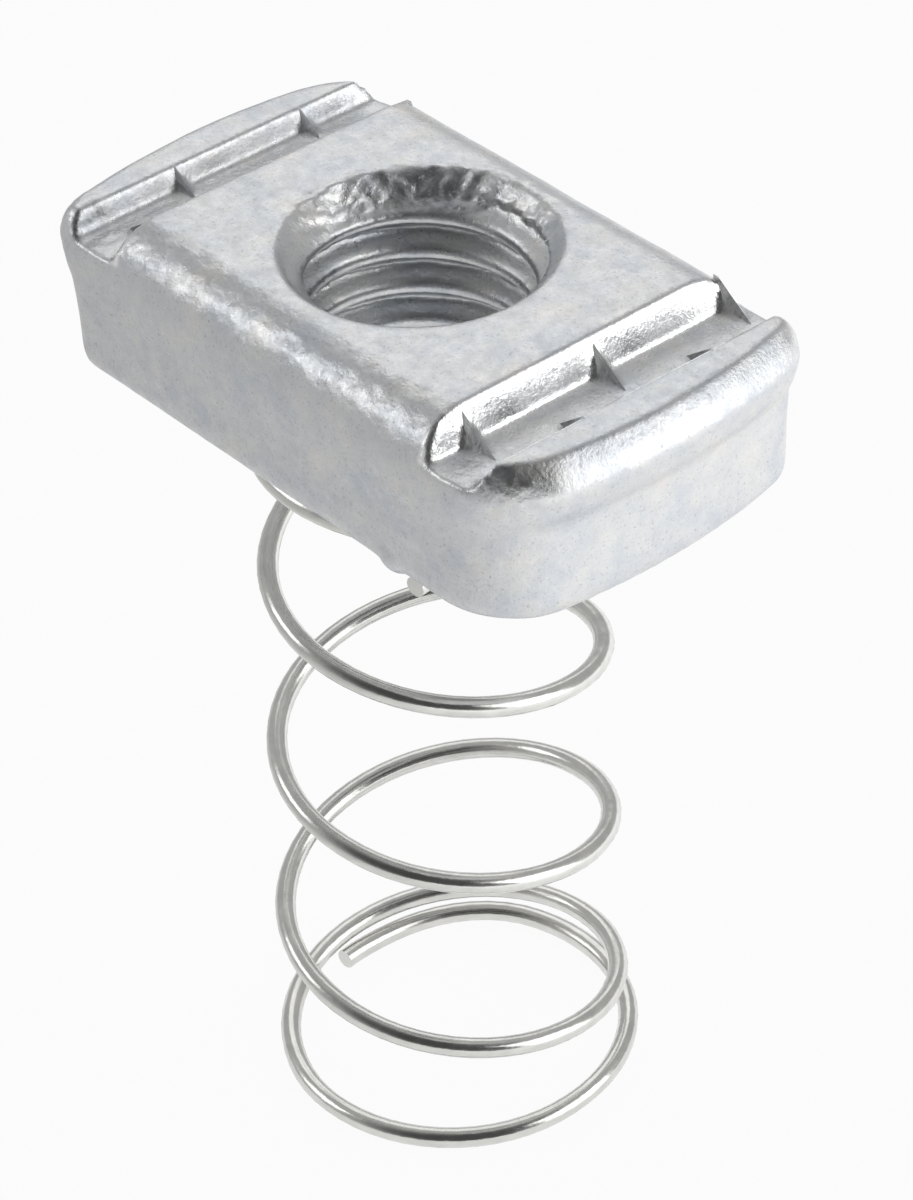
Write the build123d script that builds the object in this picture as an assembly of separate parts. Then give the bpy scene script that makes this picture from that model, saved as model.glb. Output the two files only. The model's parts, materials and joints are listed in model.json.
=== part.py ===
from build123d import *
import math
import os

os.makedirs("parts", exist_ok=True)

# Strut spring nut: a coined block with a threaded hole and two lip grooves, and the wire
# spring staked to its underside. Millimetres. X runs along the block, Y along its grooves,
# Z up. The pieces are drawn with z = 0 on the raised top face and lifted at the end, so that
# the origin is on the hole's axis, level with the foot of the spring.

# ---- block
block_len = 34.9        # over the bulged end lips, at mid width
block_wid = 19.05
block_thk = 9.5
end_arc_r = 34.0        # plan radius of each end
turn_corner_r = 4.6     # plan radius of the two corners that lead as the nut is turned
corner_r = 2.1          # plan radius of the other two
roll_r = 2.6            # rolled long top edges
foot_r = 0.9            # rounding of the bottom edge
side_draft = 0.27       # long sides lean in by this at the bottom

# ---- end face, measured in from the lip's furthest point
rim_in = 1.05           # upper rim of the end cap
crease_in = 0.7         # hollow under the lip
foot_in = 0.85          # foot of the end face
lip_z = -2.3            # height of the furthest point
crease_z = -4.3

# ---- grooves for the channel lips
plateau_half = 10.8     # half length of the raised top face
groove_in = 11.45       # inner edge of the groove floor
groove_out = 14.05      # outer edge of the groove floor
groove_depth = 1.93
cap_in = 14.5           # inner edge of the end cap's top
cap_drop = 0.7          # end cap's top below the raised face

# ---- teeth standing in the groove corners
tooth_pitch = 7.7
tooth_shift = 0.85      # the whole row sits off the middle
tooth_wid = 1.65
tooth_reach = 1.68      # along the floor from the wall's foot
tooth_gap = 0.4         # the inner row stops short of the raised face
outer_reach = 1.15

# ---- threaded hole, 1/2-13
thread_minor_r = 5.35
chamfer_r = 6.55
chamfer_drop = 1.25

# ---- spring
wire_d = 1.05
seat_gap = 0.02         # wire to underside
top_r = 8.2             # wire centre radius of the seated turn
body_top_r = 7.95       # wire centre radius where the open turns begin
foot_coil_r = 8.8       # wire centre radius of the closed bottom turn
free_len = 39.0         # underside to the bottom of the wire
tail_x = 9.2            # end of the straight tail, staked at the long edge
tail_y = -8.6

# ---- turn angles of the wire in degrees, counted down the spring from the +X axis
open_from = -130.0      # the pitch opens from here
open_to = 80.0          # to here
close_from = 950.0      # and closes from here
close_to = 1340.0       # to here
close_ease = 1.35       # 2 closes evenly, nearer 1 closes late
wire_end = 1628.0
flare = 0.4             # the last turn swells before its tip
tip_curl = 0.95         # the tip curls in, inside the turn above
arc_step = 30.0         # turn of each arc of the wire
arc_share = 0.97        # share of each side that its arcs take, and the rest is a straight run

# ---- stakes that hold the seated turn
stake_r = 1.15
stake_drop = 0.32
stake_gap = 0.08        # stake to wire
dent_r = 0.8
dent_side = 2.2         # punch dent beside its stake
dent_z = -7.5


def rounded_plan(half_len, half_wid, inset, z):
    """Outline with straight long sides, arched ends, two wide corners and two tight ones."""
    sag = end_arc_r - math.sqrt(end_arc_r ** 2 - half_wid ** 2)
    x = half_len - sag
    wire = Wire([
        Edge.make_line((-x, -half_wid, z), (x, -half_wid, z)),
        Edge.make_three_point_arc((x, -half_wid, z), (half_len, 0, z), (x, half_wid, z)),
        Edge.make_line((x, half_wid, z), (-x, half_wid, z)),
        Edge.make_three_point_arc((-x, half_wid, z), (-half_len, 0, z), (-x, -half_wid, z)),
    ])
    wide = [v for v in wire.vertices() if v.X * v.Y < 0]
    wire = wire.fillet_2d(turn_corner_r - inset, wide)
    sharp = [v for v in wire.vertices() if v.X * v.Y > 0 and abs(abs(v.X) - x) < 0.001]
    return wire.fillet_2d(corner_r - inset, sharp)


def end_profile():
    """(height, distance in from the lip, distance in from the long side), bottom to top."""
    levels = []
    for turn in (90, 60, 30, 0):
        a = math.radians(turn)
        round_in = foot_r * (1 - math.cos(a))
        levels.append((-block_thk + foot_r * (1 - math.sin(a)),
                       foot_in + round_in, side_draft + round_in))
    return levels + [
        (0.72 * crease_z - 0.28 * block_thk, (crease_in + foot_in) / 2, 0.6 * side_draft),
        (crease_z, crease_in, 0.15 * side_draft),
        (0.6 * crease_z + 0.4 * lip_z, 0.45 * crease_in, 0.0),
        (lip_z, 0.0, 0.0),
        (0.47 * lip_z - 0.53 * cap_drop, 0.35 * rim_in, 0.0),
        (-cap_drop, rim_in, 0.0),
        (0.0, 1.9 * rim_in, 0.0),
    ]


def block_core():
    levels = [
        rounded_plan(block_len / 2 - inset, block_wid / 2 - draft, draft, z)
        for z, inset, draft in end_profile()
    ]
    core = Solid.make_loft(levels, True)
    slab = Plane.YZ * Pos(0, -block_thk / 2) * Rectangle(block_wid, block_thk)
    top = slab.vertices().sort_by(Axis.Z)[-2:]
    return core & extrude(fillet(top, roll_r), block_len, both=True)


def groove_cut(side):
    pts = [
        (plateau_half, 0.0), (groove_in, -groove_depth), (groove_out, -groove_depth),
        (cap_in, -cap_drop), (block_len, -cap_drop), (block_len, 1.0),
        (plateau_half - 0.35, 1.0),
    ]
    face = make_face(Polyline([(side * x, z) for x, z in pts], close=True))
    return extrude(Plane.XZ * face, block_wid, both=True)


def gusset(wall_x, wall_z, foot_x, tip_x, y):
    """A three-sided tooth: its ridge runs from high on the wall down to the floor."""
    back = 0.25 if tip_x > foot_x else -0.25
    floor = -groove_depth
    ridge = [(wall_x, y, wall_z), (tip_x, y, floor - 0.02)]
    left = (foot_x - back, y - tooth_wid / 2, floor - 0.2)
    right = (foot_x - back, y + tooth_wid / 2, floor - 0.2)
    high = (wall_x - back, y, wall_z)
    low = (tip_x, y, floor - 0.2)
    tip = ridge[1]
    faces = [
        (high, left, tip), (high, tip, right), (high, right, left),
        (left, low, tip), (right, tip, low), (left, right, low),
    ]
    shell = Shell([Face(Wire.make_polygon([Vector(*p) for p in f])) for f in faces])
    return Solid(shell)


def teeth():
    inner = []
    outer = []
    slope = (groove_in - plateau_half) / groove_depth
    for k in (-1, 0, 1):
        y = tooth_shift + k * tooth_pitch
        inner.append(gusset(plateau_half + tooth_gap * slope, -tooth_gap,
                            groove_in, groove_in + tooth_reach, y))
    for k in (-0.5, 0.5):
        y = tooth_shift + k * tooth_pitch
        outer.append(gusset(cap_in, -cap_drop - 0.05, groove_out,
                            groove_out - outer_reach, y))
    row = inner + outer
    return row + [mirror(t, Plane.YZ) for t in row]


def threaded_hole():
    bore = Pos(0, 0, -block_thk / 2) * Cylinder(thread_minor_r, block_thk + 4)
    mouth = chamfer_r - thread_minor_r
    top = Pos(0, 0, -chamfer_drop / 2) * Cone(
        thread_minor_r, chamfer_r, chamfer_drop)
    low = Pos(0, 0, -block_thk + chamfer_drop / 2) * Cone(
        chamfer_r, thread_minor_r, chamfer_drop)
    lid = Pos(0, 0, 0.5) * Cylinder(chamfer_r, 1.0)
    base = Pos(0, 0, -block_thk - 0.5) * Cylinder(chamfer_r, 1.0)
    return bore + top + low + lid + base


def stakes():
    """Peened bumps beside the seated turn, and the punch dents above them."""
    rise = stake_r - stake_drop + wire_d / 2 + seat_gap
    reach = stake_r + wire_d / 2 + stake_gap
    beside = math.sqrt(reach ** 2 - rise ** 2)
    far = (top_r + beside) * math.sqrt(0.5)
    spots = [(tail_x - beside, foot_r + 0.35 - block_wid / 2), (-far, far)]
    bumps = []
    dents = []
    for x, y in spots:
        side = 1 if y > 0 else -1
        bumps.append(Pos(x, y, -block_thk - stake_drop + stake_r) * Sphere(stake_r))
        dents.append(Pos(x - side * dent_side, side * (block_wid / 2 + 0.35 * dent_r), dent_z)
                     * Rot(0, 15, 0) * scale(Sphere(dent_r), (0.8, 0.8, 1.7)))
    return bumps, dents


def make_block():
    solid = block_core()
    for side in (-1, 1):
        solid = solid - groove_cut(side)
    for tooth in teeth():
        solid = solid + (tooth & block_core())
    bumps, dents = stakes()
    for b in bumps:
        solid = solid + b
    for d in dents:
        solid = solid - d
    return solid - threaded_hole()


def ease(angle, low, high):
    """0 before low, 1 after high and a smooth step between."""
    t = min(max((angle - low) / (high - low), 0.0), 1.0)
    return t * t * (3 - 2 * t)


def opened(angle):
    """Degrees of full pitch that the wire has gone through by this angle."""
    ramp = open_to - open_from
    t = min(max((angle - open_from) / ramp, 0.0), 1.0)
    rise = ramp * t * t / 2 + max(angle - open_to, 0.0)
    length = close_to - close_from
    u = min(max((angle - close_from) / length, 0.0), 1.0)
    fall = length / close_ease * (1 - (1 - u) ** close_ease)
    return rise if angle < close_from else close_from - open_to + ramp / 2 + fall


def height_at(angle):
    """Wire centre height: seated turn, open turns, then a closed foot turn."""
    seat = -block_thk - wire_d / 2 - seat_gap
    foot = -block_thk - free_len + wire_d / 2
    return seat + (foot - seat) * opened(angle) / opened(wire_end)


def radius_at(angle):
    """The coil widens towards its foot, and its tip swells and then curls in."""
    cone = body_top_r + (foot_coil_r - body_top_r) * (angle - open_to) / (wire_end - open_to)
    r = cone + (top_r - cone) * (1 - ease(angle, open_from, open_to))
    r += flare * (ease(angle, wire_end - 190, wire_end - 110) - ease(angle, wire_end - 75, wire_end))
    return r - tip_curl * ease(angle, wire_end - 75, wire_end - 10)


def on_coil(angle, widen=1.0):
    r = radius_at(angle) * widen
    a = math.radians(angle)
    return Vector(r * math.cos(a), r * math.sin(a), height_at(angle))


def wire_corners():
    """Corners of the polygon that the wire's arcs touch at the middle of each side."""
    out = math.hypot(tail_x, tail_y)
    touch = math.degrees(math.atan2(tail_y, tail_x) + math.acos(top_r / out)) - 360
    count = math.ceil((wire_end - touch) / arc_step)
    step = (wire_end - touch) / count
    widen = 1 / math.cos(math.radians(step / 2))
    tail = Vector(tail_x, tail_y, height_at(touch))
    return [tail] + [on_coil(touch + (k + 0.5) * step, widen) for k in range(count + 1)]


def tangent_arcs(corners):
    """Straight tail, then one arc for each corner of the polygon and a short run between."""
    edges = []
    last = corners[0]
    for a, b, c in zip(corners, corners[1:], corners[2:]):
        back = (a - b).normalized()
        ahead = (c - b).normalized()
        cut = arc_share * min((a - b).length, (c - b).length) / 2
        half = math.acos(back.dot(ahead)) / 2
        centre = b + (back + ahead).normalized() * (cut / math.cos(half))
        middle = centre + (b - centre).normalized() * (cut * math.tan(half))
        edges.append(Edge.make_line(last, b + back * cut))
        edges.append(Edge.make_three_point_arc(b + back * cut, middle, b + ahead * cut))
        last = b + ahead * cut
    return Wire(edges)


def make_spring():
    path = tangent_arcs(wire_corners())
    section = Plane(origin=path @ 0, z_dir=path % 0) * Circle(wire_d / 2)
    return sweep(section, path=path, transition=Transition.RIGHT)


lift = Pos(0, 0, block_thk + free_len)
nut = lift * make_block()
spring = lift * make_spring()
for name, part in (("nut", nut), ("spring", spring)):
    solids = part.solids()
    solid = max(solids, key=lambda s: s.volume)
    solid.label = name
    export_step(solid, f"parts/{name}.step")
    box = solid.bounding_box()
    print(name, len(solids), solid.is_valid, round(solid.volume, 2),
          [round(v, 2) for v in (*box.min, *box.max)])
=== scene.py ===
import json
import math
import bpy
from mathutils import Matrix, Vector, noise


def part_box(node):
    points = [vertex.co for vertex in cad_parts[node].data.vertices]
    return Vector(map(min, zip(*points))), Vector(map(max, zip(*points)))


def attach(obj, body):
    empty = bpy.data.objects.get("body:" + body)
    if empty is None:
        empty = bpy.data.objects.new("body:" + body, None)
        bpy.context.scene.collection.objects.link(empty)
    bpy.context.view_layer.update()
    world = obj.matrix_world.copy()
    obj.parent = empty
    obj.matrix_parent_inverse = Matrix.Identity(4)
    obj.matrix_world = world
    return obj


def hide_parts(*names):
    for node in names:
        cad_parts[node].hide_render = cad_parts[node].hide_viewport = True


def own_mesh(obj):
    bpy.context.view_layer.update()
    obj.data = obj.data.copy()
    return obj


# Strut spring nut. Zinc plated block with a tapped hole, and the wire spring staked under it.
# Modelling is done in millimetres and each finished mesh is brought to metres at the end.

MM = 0.001
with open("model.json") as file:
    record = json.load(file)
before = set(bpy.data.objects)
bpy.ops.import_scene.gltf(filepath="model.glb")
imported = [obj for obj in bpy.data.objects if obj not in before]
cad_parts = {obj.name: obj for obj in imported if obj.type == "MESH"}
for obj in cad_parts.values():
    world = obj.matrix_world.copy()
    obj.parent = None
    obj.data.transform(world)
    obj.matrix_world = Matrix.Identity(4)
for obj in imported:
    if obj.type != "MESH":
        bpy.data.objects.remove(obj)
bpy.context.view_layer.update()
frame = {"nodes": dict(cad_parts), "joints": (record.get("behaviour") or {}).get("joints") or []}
nut_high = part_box("nut")[1]
spring_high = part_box("spring")[1]

TOP = nut_high.z / MM                  # raised face
JOINT = frame["joints"][0]
SEAT = JOINT["deforming_nodes"][0]["fixed_end_z_m"] / MM    # underside of the block
HALF_LEN = nut_high.x / MM
HALF_WID = nut_high.y / MM
DEPTH = TOP - SEAT

# ---- grooves and end caps, from the middle outwards
PLATEAU_HALF = 10.8
GROOVE_IN = 11.45
GROOVE_OUT = 14.05
CAP_IN = 14.5
GROOVE_DEPTH = 1.93
TOOTH_WID = 1.65
TOOTH_PITCH = 7.7
TOOTH_SHIFT = 0.85

# ---- thread, 1/2-13
PITCH = 25.4 / 13
MAJOR_R = 6.35
MINOR_R = 5.35

THREAD_STEPS = 96                      # faces round one turn
TAP_RELIEF = 0.02                      # the tap's root stands inside the bore

# ---- finish of the block
SKIN_CELL = 0.175
SMOOTH_ANGLE = 38.0                    # sharper edges than this stay crisp
TOOTH_RIDGE_DROP = 0.35                # inner ridges start this far below the raised face
CAP_RIDGE_DROP = 0.72
INNER_REACH = 1.72
OUTER_REACH = 1.2
TOOTH_SINK = 0.2                       # teeth go this far into the floor
TOOTH_BACK = 0.3                       # and this far into the wall

# ---- spring
WIRE_D = 1.05
FOOT_TURN_R = 8.8
OPEN_TURN_R = 7.95
SEATED_TURN_R = 8.2
TAIL = (9.2, -8.6)
OPEN_FROM, OPEN_TO = -130.0, 80.0
CLOSE_FROM, CLOSE_TO = 950.0, 1340.0
CLOSE_EASE = 1.35
WIRE_END = 1628.0
FLARE = 0.4
TIP_CURL = 0.95
COIL_STEPS = 330
TAIL_STEPS = 8


# ------------------------------------------------------------------ helpers

def only(obj):
    """Make this the one selected object, and the active one."""
    bpy.ops.object.select_all(action="DESELECT")
    obj.select_set(True)
    bpy.context.view_layer.objects.active = obj


def apply_all(obj):
    only(obj)
    for modifier in list(obj.modifiers):
        bpy.ops.object.modifier_apply(modifier=modifier.name)


def carve(obj, tool, operation="DIFFERENCE"):
    """Cut or join a tool into the object, and remove the tool."""
    cut = obj.modifiers.new(operation.lower(), "BOOLEAN")
    cut.operation = operation
    cut.solver = "EXACT"
    cut.object = tool
    apply_all(obj)
    bpy.data.objects.remove(tool)


def edit(obj):
    only(obj)
    bpy.ops.object.mode_set(mode="EDIT")


def leave():
    bpy.ops.object.mode_set(mode="OBJECT")


def pick(obj, test):
    """Select the vertices that pass the test, by place."""
    leave()
    for v in obj.data.vertices:
        v.select = test(v.co)
    bpy.ops.object.mode_set(mode="EDIT")


def ease(x, low, high):
    t = min(max((x - low) / (high - low), 0.0), 1.0)
    return t * t * (3 - 2 * t)


def to_metres(obj):
    obj.data.transform(Matrix.Scale(MM, 4))
    obj.data.update()


# ------------------------------------------------------------------ block

def forged_blank():
    """The block itself, merged and brought to millimetres."""
    mesh = frame["nodes"]["nut"].data.copy()
    mesh.materials.clear()
    mesh.transform(Matrix.Scale(1 / MM, 4))
    blank = bpy.data.objects.new("nut_block", mesh)
    bpy.context.scene.collection.objects.link(blank)
    edit(blank)
    bpy.ops.mesh.select_all(action="SELECT")
    bpy.ops.mesh.remove_doubles(threshold=0.001)
    bpy.ops.mesh.normals_make_consistent(inside=False)
    leave()
    return blank


def tap_tool():
    """A screw of the thread's own form, longer than the hole at both ends."""
    flat = PITCH / 8
    flank = (PITCH - 3 * flat) / 2
    low = SEAT - 1.6 * PITCH
    profile = [
        (MINOR_R - TAP_RELIEF, 0.0), (MINOR_R - TAP_RELIEF, 2 * flat),
        (MAJOR_R, 2 * flat + flank), (MAJOR_R, 3 * flat + flank),
        (MINOR_R - TAP_RELIEF, PITCH),
    ]
    mesh = bpy.data.meshes.new("tap")
    mesh.from_pydata([(r, 0, low + z) for r, z in profile],
                     [(i, i + 1) for i in range(len(profile) - 1)], [])
    tap = bpy.data.objects.new("tap", mesh)
    bpy.context.scene.collection.objects.link(tap)
    turns = tap.modifiers.new("turns", "SCREW")
    turns.axis = "Z"
    turns.screw_offset = PITCH
    turns.iterations = math.ceil(DEPTH / PITCH) + 3
    turns.steps = THREAD_STEPS
    turns.render_steps = THREAD_STEPS
    turns.use_merge_vertices = True
    turns.merge_threshold = 0.001
    apply_all(tap)
    edit(tap)
    bpy.ops.mesh.select_all(action="SELECT")
    bpy.ops.mesh.remove_doubles(threshold=0.002)
    bpy.ops.mesh.select_all(action="DESELECT")
    bpy.ops.mesh.select_non_manifold()
    bpy.ops.mesh.fill_holes(sides=0)
    bpy.ops.mesh.select_all(action="SELECT")
    bpy.ops.mesh.quads_convert_to_tris()
    bpy.ops.mesh.normals_make_consistent(inside=False)
    leave()
    return tap


def uneven_mouth(obj):
    """The countersink was struck a little off centre, so its far rim is wider."""
    bpy.ops.object.select_all(action="DESELECT")
    bpy.ops.mesh.primitive_cone_add(vertices=72, radius1=5.3, radius2=6.75, depth=1.5,
                                    location=(-0.3, 0.32, TOP - 0.7))
    carve(obj, bpy.context.object)


def soften(obj):
    """One even skin over the block, with its edges rounded as coining leaves them."""
    skin = obj.modifiers.new("skin", "REMESH")
    skin.mode = "VOXEL"
    skin.voxel_size = SKIN_CELL
    apply_all(obj)
    edit(obj)
    bpy.ops.mesh.select_all(action="SELECT")
    bpy.ops.mesh.vertices_smooth(factor=0.5, repeat=1)

    def outer(p):
        groove = GROOVE_IN - 1 < abs(p.x) and p.z > TOP - 1.9 and abs(p.y) < HALF_WID - 1.6
        hole = math.hypot(p.x, p.y) < MAJOR_R + 0.8
        return not groove and not hole
    pick(obj, outer)
    bpy.ops.mesh.vertices_smooth(factor=0.5, repeat=5)
    leave()


def tooth(wall_x, wall_z, foot_x, tip_x, y):
    """A three sided tooth whose ridge runs from high on a groove wall down to the floor."""
    back = TOOTH_BACK if tip_x > foot_x else -TOOTH_BACK
    floor = TOP - GROOVE_DEPTH
    points = [
        (wall_x - back, y, wall_z), (wall_x, y, wall_z), (tip_x, y, floor - 0.03),
        (foot_x - back, y - TOOTH_WID / 2, floor - TOOTH_SINK),
        (foot_x - back, y + TOOTH_WID / 2, floor - TOOTH_SINK), (tip_x, y, floor - TOOTH_SINK),
    ]
    faces = [(0, 3, 1), (0, 1, 4), (1, 3, 2), (1, 2, 4),
             (2, 3, 5), (2, 5, 4), (3, 4, 5), (0, 4, 3)]
    return points, faces


def sharp_teeth():
    """All ten teeth as one tool, with the crisp ridges that the block's skin has lost."""
    row = []
    for k in (-1, 0, 1):
        row.append(tooth(PLATEAU_HALF + 0.1, TOP - TOOTH_RIDGE_DROP, GROOVE_IN, GROOVE_IN + INNER_REACH,
                         TOOTH_SHIFT + k * TOOTH_PITCH))
    for k in (-0.5, 0.5):
        row.append(tooth(CAP_IN, TOP - CAP_RIDGE_DROP, GROOVE_OUT, GROOVE_OUT - OUTER_REACH,
                         TOOTH_SHIFT + k * TOOTH_PITCH))
    points, faces = [], []
    for side in (1, -1):
        for corners, sides in row:
            first = len(points)
            points += [(side * x, y, z) for x, y, z in corners]
            faces += [tuple(first + i for i in f) for f in sides]
    mesh = bpy.data.meshes.new("teeth")
    mesh.from_pydata(points, [], faces)
    teeth = bpy.data.objects.new("teeth", mesh)
    bpy.context.scene.collection.objects.link(teeth)
    edit(teeth)
    bpy.ops.mesh.select_all(action="SELECT")
    bpy.ops.mesh.normals_make_consistent(inside=False)
    leave()
    return teeth


def work_marks(obj):
    """Slight waviness, a hammered near edge, a torn far rim on the hole, and drag marks."""
    places = [v.co.copy() for v in obj.data.vertices]
    normals = [v.vector.copy() for v in obj.data.vertex_normals]
    spots = Vector((7, 3, 1))
    moved = []
    for p, n in zip(places, normals):
        wave = 0.04 * noise.noise(p * 0.35) + 0.012 * noise.noise(p * 1.1)
        band = ease(-p.y, HALF_WID - 3.0, HALF_WID - 2.0) * ease(p.z, TOP - 4.0, TOP - 2.0)
        if band > 0:
            wave += band * (0.05 * noise.noise(p * 1.0 + spots) + 0.035 * noise.noise(p * 2.6))
        r = math.hypot(p.x, p.y)
        if r < MAJOR_R + 1.0:
            wave *= 0.3
            far = ease(p.y - p.x, 1.5, 5.0) * ease(p.z, TOP - 1.7, TOP - 1.2)
            torn = 0.10 * noise.noise(p * 1.6) + 0.06 * noise.noise(p * 4)
            wave += far * ease(r, 5.3, 5.7) * torn
        end = ease(abs(p.x), HALF_LEN - 2.2, HALF_LEN - 1.2) * ease(TOP - p.z, 4.0, 5.2)
        if end > 0:
            drag = Vector((p.y * 1.6, p.z * 0.22, p.x))
            wave += end * 0.03 * noise.noise(drag)
        moved.extend(p + n * wave)
    obj.data.vertices.foreach_set("co", moved)
    obj.data.update()


def finished_nut():
    nut = forged_blank()
    uneven_mouth(nut)
    carve(nut, tap_tool())
    soften(nut)
    work_marks(nut)
    carve(nut, sharp_teeth(), "UNION")
    to_metres(nut)
    only(nut)
    bpy.ops.object.shade_smooth_by_angle(angle=math.radians(SMOOTH_ANGLE))
    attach(nut, "nut")
    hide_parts("nut")
    return nut


# ------------------------------------------------------------------ spring

def opened(angle):
    """Degrees of full pitch that the wire has gone through by this angle."""
    ramp = OPEN_TO - OPEN_FROM
    t = min(max((angle - OPEN_FROM) / ramp, 0.0), 1.0)
    rise = ramp * t * t / 2 + max(angle - OPEN_TO, 0.0)
    length = CLOSE_TO - CLOSE_FROM
    u = min(max((angle - CLOSE_FROM) / length, 0.0), 1.0)
    fall = length / CLOSE_EASE * (1 - (1 - u) ** CLOSE_EASE)
    return rise if angle < CLOSE_FROM else CLOSE_FROM - OPEN_TO + ramp / 2 + fall


def coil_point(angle):
    seat = spring_high.z / MM - WIRE_D / 2
    foot = WIRE_D / 2
    z = seat + (foot - seat) * opened(angle) / opened(WIRE_END)
    cone = OPEN_TURN_R + (FOOT_TURN_R - OPEN_TURN_R) * (angle - OPEN_TO) / (WIRE_END - OPEN_TO)
    r = cone + (SEATED_TURN_R - cone) * (1 - ease(angle, OPEN_FROM, OPEN_TO))
    r += FLARE * (ease(angle, WIRE_END - 190, WIRE_END - 110) - ease(angle, WIRE_END - 75, WIRE_END))
    r -= TIP_CURL * ease(angle, WIRE_END - 75, WIRE_END - 10)
    a = math.radians(angle)
    return Vector((r * math.cos(a), r * math.sin(a), z))


def wire_line():
    """The wire's centre line: straight tail, then the coil in small even steps."""
    x, y = TAIL
    touch = math.degrees(math.atan2(y, x) + math.acos(SEATED_TURN_R / math.hypot(x, y))) - 360
    start = coil_point(touch)
    tail = Vector((x, y, start.z))
    straight = [tail.lerp(start, i / TAIL_STEPS) for i in range(TAIL_STEPS)]
    turn = WIRE_END - touch
    coil = [coil_point(touch + turn * i / COIL_STEPS) for i in range(COIL_STEPS + 1)]
    return straight + coil


def wire_spring():
    line = wire_line()
    curve = bpy.data.curves.new("spring_wire", "CURVE")
    curve.dimensions = "3D"
    spline = curve.splines.new("POLY")
    spline.points.add(len(line) - 1)
    for point, p in zip(spline.points, line):
        point.co = (*p, 1.0)
    curve.bevel_depth = WIRE_D / 2
    curve.bevel_resolution = 4
    curve.use_fill_caps = True
    spring = bpy.data.objects.new("spring_wire", curve)
    bpy.context.scene.collection.objects.link(spring)
    only(spring)
    bpy.ops.object.convert(target="MESH")
    spring = bpy.context.object
    to_metres(spring)
    bpy.ops.object.shade_smooth()
    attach(spring, "nut")
    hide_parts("spring")
    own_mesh(spring)
    return spring


# ------------------------------------------------------------------ materials

class Nodes:
    """Short hand for wiring one material."""

    def __init__(self, name):
        self.material = bpy.data.materials.new(name)
        self.material.use_nodes = True
        self.tree = self.material.node_tree
        self.shader = self.tree.nodes["Principled BSDF"]
        self.place = self.node("ShaderNodeTexCoord").outputs["Object"]

    def node(self, kind, **settings):
        made = self.tree.nodes.new(kind)
        for key, value in settings.items():
            setattr(made, key, value)
        return made

    def link(self, a, b):
        self.tree.links.new(a, b)

    def mapped(self, scale):
        """Object coordinates in repeats per millimetre along each axis."""
        mapping = self.node("ShaderNodeMapping")
        mapping.inputs["Scale"].default_value = [s / MM for s in scale]
        self.link(self.place, mapping.inputs["Vector"])
        return mapping.outputs["Vector"]

    def noise(self, scale, detail=3.0, rough=0.55):
        made = self.node("ShaderNodeTexNoise")
        made.inputs["Scale"].default_value = 1.0
        made.inputs["Detail"].default_value = detail
        made.inputs["Roughness"].default_value = rough
        self.link(self.mapped(scale), made.inputs["Vector"])
        return made.outputs["Fac"]

    def ramp(self, source, stops):
        made = self.node("ShaderNodeValToRGB")
        while len(made.color_ramp.elements) < len(stops):
            made.color_ramp.elements.new(0.5)
        for element, (spot, shade) in zip(made.color_ramp.elements, stops):
            element.position = spot
            element.color = (*shade, 1) if hasattr(shade, "__len__") else (shade, shade, shade, 1)
        self.link(source, made.inputs["Fac"])
        return made.outputs["Color"]

    def math(self, operation, a, b=0.0, c=0.0):
        made = self.node("ShaderNodeMath", operation=operation)
        for socket, value in zip(made.inputs, (a, b, c)):
            if hasattr(value, "links"):
                self.link(value, socket)
            else:
                socket.default_value = value
        return made.outputs[0]

    def blend(self, share, a, b, kind="MIX"):
        made = self.node("ShaderNodeMix", data_type="RGBA", blend_type=kind)
        for socket, value in ((made.inputs[0], share), (made.inputs[6], a), (made.inputs[7], b)):
            if hasattr(value, "links"):
                self.link(value, socket)
            elif hasattr(value, "__len__"):
                socket.default_value = (*value, 1)
            else:
                socket.default_value = value
        return made.outputs[2]

    def bump(self, height, depth, strength, below=None):
        """Bump of a height field whose full range is this many millimetres."""
        made = self.node("ShaderNodeBump")
        made.inputs["Strength"].default_value = strength
        made.inputs["Distance"].default_value = depth * MM
        self.link(height, made.inputs["Height"])
        if below is not None:
            self.link(below, made.inputs["Normal"])
        return made.outputs["Normal"]


def groove_wall_share(m):
    """1 on the bright walls between the raised face and the groove floors, 0 elsewhere. Their lighter
    base colour is painted highlight.
    """
    parts = m.node("ShaderNodeSeparateXYZ")
    m.link(m.place, parts.inputs[0])
    across = m.math("ABSOLUTE", parts.outputs["X"])
    share = None
    bands = ((across, (PLATEAU_HALF - 0.1) * MM, (PLATEAU_HALF + 0.1) * MM),
             (across, (GROOVE_IN + 0.25) * MM, (GROOVE_IN + 0.05) * MM),
             (parts.outputs["Z"], (TOP - GROOVE_DEPTH - 0.15) * MM, (TOP - GROOVE_DEPTH + 0.1) * MM))
    for source, low, high in bands:
        rise = m.node("ShaderNodeMapRange")
        rise.inputs["From Min"].default_value = low
        rise.inputs["From Max"].default_value = high
        m.link(source, rise.inputs["Value"])
        found = rise.outputs["Result"]
        share = found if share is None else m.math("MULTIPLY", share, found)
    return share


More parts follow.
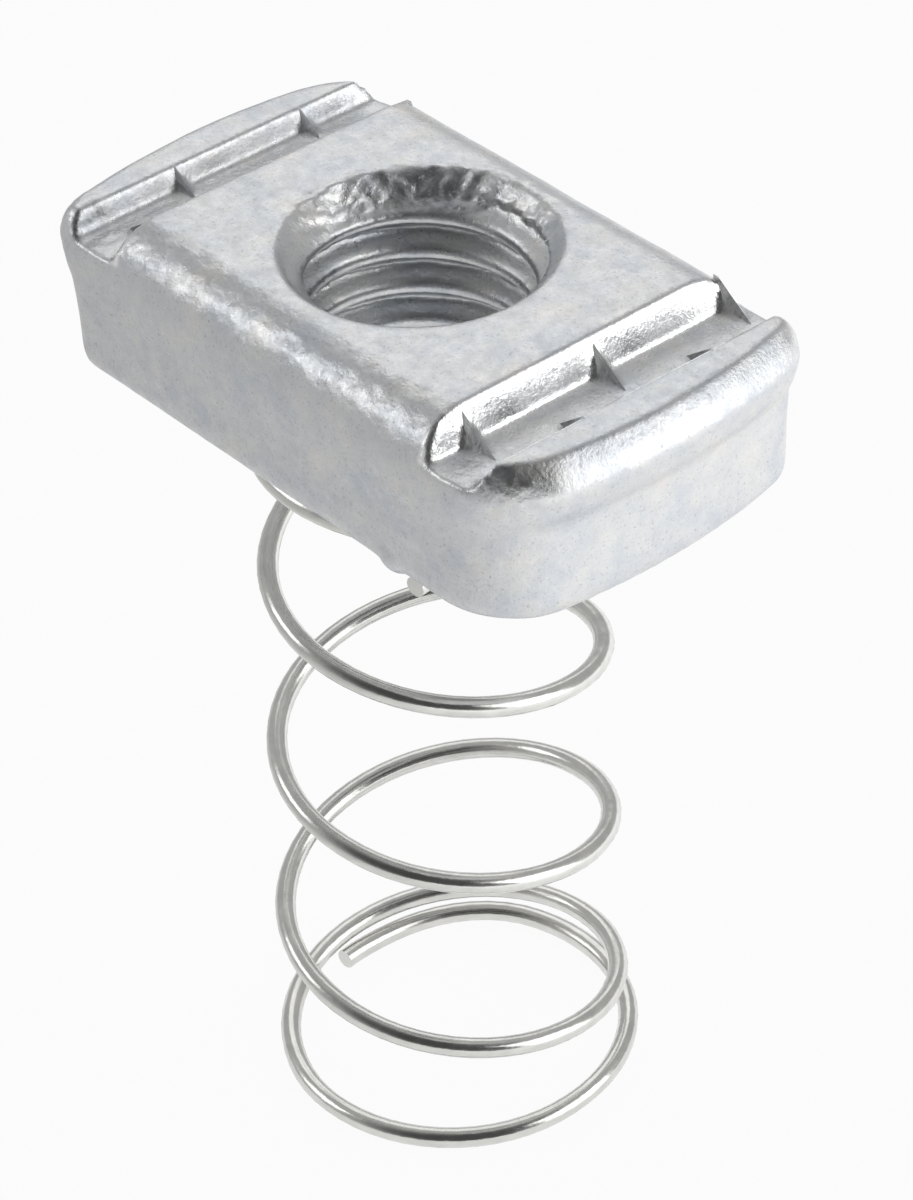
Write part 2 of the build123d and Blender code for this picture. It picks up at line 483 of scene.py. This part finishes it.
def zinc_plate():
    m = Nodes("bright_zinc_plate")
    wall = groove_wall_share(m)
    cloud = m.noise((0.45, 0.45, 0.45), 5, 0.65)
    fleck = m.noise((6.5, 6.5, 6.5), 3, 0.6)
    tone = m.ramp(cloud, [(0.34, (0.58, 0.605, 0.64)), (0.52, (0.655, 0.665, 0.675)),
                          (0.68, (0.71, 0.70, 0.685))])
    dark = m.ramp(fleck, [(0.27, 0.62), (0.42, 1.0), (0.62, 1.0), (0.74, 1.12)])
    plate = m.blend(0.8, tone, dark, "MULTIPLY")
    # the groove walls' light grey is a painted highlight; the streaks running down the walls are
    # tooling marks
    wall_streaks_painted_highlight = m.ramp(m.noise((0.5, 7.0, 0.5), 3), [(0.35, 0.84), (0.6, 0.97)])
    m.link(m.blend(wall, plate, wall_streaks_painted_highlight), m.shader.inputs["Base Color"])
    m.shader.inputs["Metallic"].default_value = 1.0
    rough = m.ramp(m.noise((1.6, 1.6, 1.6), 5, 0.65), [(0.32, 0.24), (0.68, 0.44)])
    m.link(m.blend(wall, rough, (0.15, 0.15, 0.15)), m.shader.inputs["Roughness"])
    grain = m.bump(m.noise((5.0, 5.0, 5.0), 4, 0.65), 0.035, 0.7)
    drawn = m.bump(m.noise((4.5, 4.5, 0.5), 3), 0.03, 0.45, grain)
    m.link(m.bump(m.noise((1.1, 1.1, 1.1), 3), 0.05, 0.5, drawn), m.shader.inputs["Normal"])
    return m.material


def drawn_wire():
    m = Nodes("drawn_zinc_wire")
    tone = m.ramp(m.noise((0.8, 0.8, 2.0), 3), [(0.3, (0.62, 0.62, 0.60)), (0.7, (0.72, 0.715, 0.69))])
    m.link(tone, m.shader.inputs["Base Color"])
    m.shader.inputs["Metallic"].default_value = 1.0
    rough = m.ramp(m.noise((1.5, 1.5, 3.0), 3), [(0.3, 0.14), (0.7, 0.26)])
    m.link(rough, m.shader.inputs["Roughness"])
    m.link(m.bump(m.noise((3, 3, 6), 2), 0.01, 0.5), m.shader.inputs["Normal"])
    return m.material


# ------------------------------------------------------------------ studio

EYE_SIDE = Vector((0.6177, -0.5058, 0.6021))     # from the block towards the camera
EYE_RIGHT = Vector((0.6536, 0.7559, -0.0355))
EYE_SPOT = (0.1358, -0.1099, 0.1599)
ROOM_LIGHT = 0.5
ROOM_DARK = 0.08


def studio():
    """A pale room, darker round the camera, and plain white where the camera looks past."""
    world = bpy.data.worlds.new("studio")
    bpy.context.scene.world = world
    world.use_nodes = True
    tree = world.node_tree
    room = tree.nodes["Background"]
    white = tree.nodes.new("ShaderNodeBackground")
    white.inputs["Color"].default_value = (1, 1, 1, 1)
    place = tree.nodes.new("ShaderNodeTexCoord")
    toward = tree.nodes.new("ShaderNodeVectorMath")
    toward.operation = "DOT_PRODUCT"
    toward.inputs[1].default_value = EYE_SIDE
    tree.links.new(place.outputs["Generated"], toward.inputs[0])
    ramp = tree.nodes.new("ShaderNodeMapRange")
    ramp.interpolation_type = "SMOOTHSTEP"
    ramp.inputs["From Min"].default_value = 0.35
    ramp.inputs["From Max"].default_value = 0.95
    ramp.inputs["To Min"].default_value = ROOM_LIGHT
    ramp.inputs["To Max"].default_value = ROOM_DARK
    tree.links.new(toward.outputs["Value"], ramp.inputs["Value"])
    tree.links.new(ramp.outputs["Result"], room.inputs["Strength"])
    room.inputs["Color"].default_value = (1, 1, 1, 1)
    path = tree.nodes.new("ShaderNodeLightPath")
    mix = tree.nodes.new("ShaderNodeMixShader")
    tree.links.new(path.outputs["Is Camera Ray"], mix.inputs[0])
    tree.links.new(room.outputs[0], mix.inputs[1])
    tree.links.new(white.outputs[0], mix.inputs[2])
    tree.links.new(mix.outputs[0], tree.nodes["World Output"].inputs["Surface"])


def pale_floor():
    """White floor. It keeps a little of the shadow, and glows more on the bounce lamp's side."""
    bpy.ops.object.select_all(action="DESELECT")
    bpy.ops.mesh.primitive_plane_add(size=6.0, location=(0, 0, 0))
    floor = bpy.context.object
    floor.name = "floor"
    m = Nodes("floor_white")
    m.shader.inputs["Base Color"].default_value = (0.85, 0.85, 0.85, 1)
    m.shader.inputs["Roughness"].default_value = 0.9
    lit_side = m.node("ShaderNodeVectorMath", operation="DOT_PRODUCT")
    lit_side.inputs[1].default_value = (0.75, 0.65, 0)
    m.link(m.place, lit_side.inputs[0])
    rise = m.node("ShaderNodeMapRange", interpolation_type="SMOOTHSTEP")
    for socket, value in (("From Min", -0.10), ("From Max", 0.10),
                          ("To Min", 0.62), ("To Max", 1.3)):
        rise.inputs[socket].default_value = value
    m.link(lit_side.outputs["Value"], rise.inputs["Value"])
    path = m.node("ShaderNodeLightPath")
    white = m.node("ShaderNodeEmission")
    mirrored = m.node("ShaderNodeEmission")
    m.link(rise.outputs["Result"], mirrored.inputs["Strength"])
    mix = m.node("ShaderNodeMixShader")
    m.link(m.math("MULTIPLY", path.outputs["Is Camera Ray"], 0.94), mix.inputs[0])
    m.link(m.shader.outputs[0], mix.inputs[1])
    m.link(white.outputs[0], mix.inputs[2])
    both = m.node("ShaderNodeMixShader")
    m.link(path.outputs["Is Glossy Ray"], both.inputs[0])
    m.link(mix.outputs[0], both.inputs[1])
    m.link(mirrored.outputs[0], both.inputs[2])
    m.link(both.outputs[0], m.tree.nodes["Material Output"].inputs["Surface"])
    floor.data.materials.append(m.material)


def soft_box(name, spot, size, glow):
    """A square lamp of this width, whose face is this bright, aimed at the part."""
    bpy.ops.object.select_all(action="DESELECT")
    bpy.ops.object.light_add(type="AREA", location=spot)
    lamp = bpy.context.object
    lamp.name = name
    lamp.data.shape = "SQUARE"
    lamp.data.size = size
    lamp.data.energy = glow * math.pi * size ** 2
    aim = Vector((0, 0, 0.035)) - Vector(spot)
    lamp.rotation_euler = aim.to_track_quat("-Z", "Y").to_euler()


def camera():
    right = EYE_RIGHT.normalized()
    back = EYE_SIDE.normalized()
    up = back.cross(right).normalized()
    right = up.cross(back)
    eye = bpy.data.cameras.new("camera")
    eye.lens = 135
    eye.sensor_width = 36
    eye.clip_start = 0.01
    cam = bpy.data.objects.new("camera", eye)
    bpy.context.scene.collection.objects.link(cam)
    cam.matrix_world = Matrix.Translation(EYE_SPOT) @ Matrix(
        (right, up, back)).transposed().to_4x4()
    bpy.context.scene.camera = cam


camera()
studio()
pale_floor()
soft_box("bounce", (0.40, 0.245, 0.20), 0.42, 1.7)
soft_box("overhead", (-0.36, 0.30, 0.42), 0.42, 0.72)
soft_box("front", (-0.34, -0.36, 0.30), 0.26, 1.5)
nut = finished_nut()
nut.data.materials.clear()
nut.data.materials.append(zinc_plate())
spring = wire_spring()
spring.data.materials.clear()
spring.data.materials.append(drawn_wire())

bpy.context.scene.view_settings.view_transform = "Standard"
